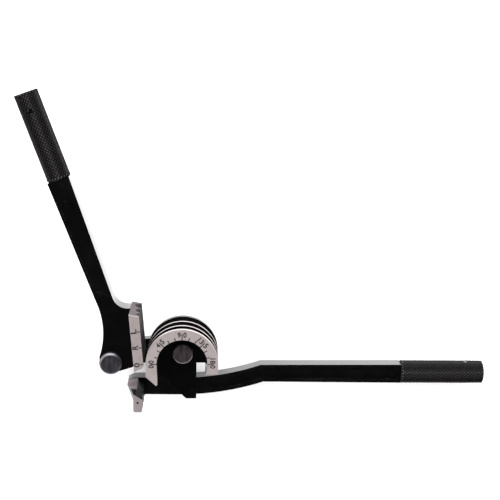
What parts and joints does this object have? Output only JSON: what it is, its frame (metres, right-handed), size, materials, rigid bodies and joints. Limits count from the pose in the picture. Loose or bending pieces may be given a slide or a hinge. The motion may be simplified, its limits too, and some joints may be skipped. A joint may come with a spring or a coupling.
{
  "type": "manual tube bender",
  "caption": "Lever tube bender: a half-round bend form with tube grooves on a cranked base handle, and a bending handle with a grooved shoe on a swinging link.",
  "frame": {"origin": "middle of the whole tool's footprint, on the surface that the grips' undersides reach when the tool lies on its back", "axes": "+X along the base handle from the form to its grip, +Z out of the dial, +Y towards the bending handle's side"},
  "size_m": [0.3178, 0.2104, 0.046],
  "materials": {
    "black_paint": "gloss",
    "knurled_black": "satin",
    "form_steel": "satin",
    "shoe_steel": "satin",
    "pin_steel": "satin",
    "screw_steel": "satin",
    "washer_steel": "satin",
    "spring_steel": "satin",
    "bronze": "satin",
    "mark_black": "matt"
  },
  "bodies": {
    "base": {"base_handle": "black_paint", "base_grip": "knurled_black", "base_grip_pin": "screw_steel", "bend_form": "form_steel", "form_screws": "screw_steel", "tube_hook": "black_paint", "hook_screws": "screw_steel", "centre_pin": "pin_steel", "centre_thrust_washer": "washer_steel", "centre_end_washer": "washer_steel", "centre_clip": "spring_steel"},
    "link": {"swing_link": "black_paint", "centre_bush": "bronze", "handle_pin": "pin_steel", "handle_thrust_washer": "washer_steel", "handle_end_washer": "washer_steel", "handle_clip": "spring_steel"},
    "lever": {"bending_handle": "black_paint", "handle_bush": "bronze", "lever_grip": "knurled_black", "lever_grip_pin": "screw_steel", "bending_shoe": "shoe_steel", "shoe_screws": "screw_steel"}
  },
  "joints": [
    {"name": "link_swing", "type": "hinge", "parent": "base", "child": "link", "pos_m": [-0.05157, -0.0714, 0.00875], "axis": [0, 0, -1], "range_deg": [-4, 187]},
    {"name": "handle_swing", "type": "hinge", "parent": "link", "child": "lever", "pos_m": [-0.0994, -0.07542, 0.0225], "axis": [0, 0, 1], "range_deg": [-5, 95]}
  ]
}
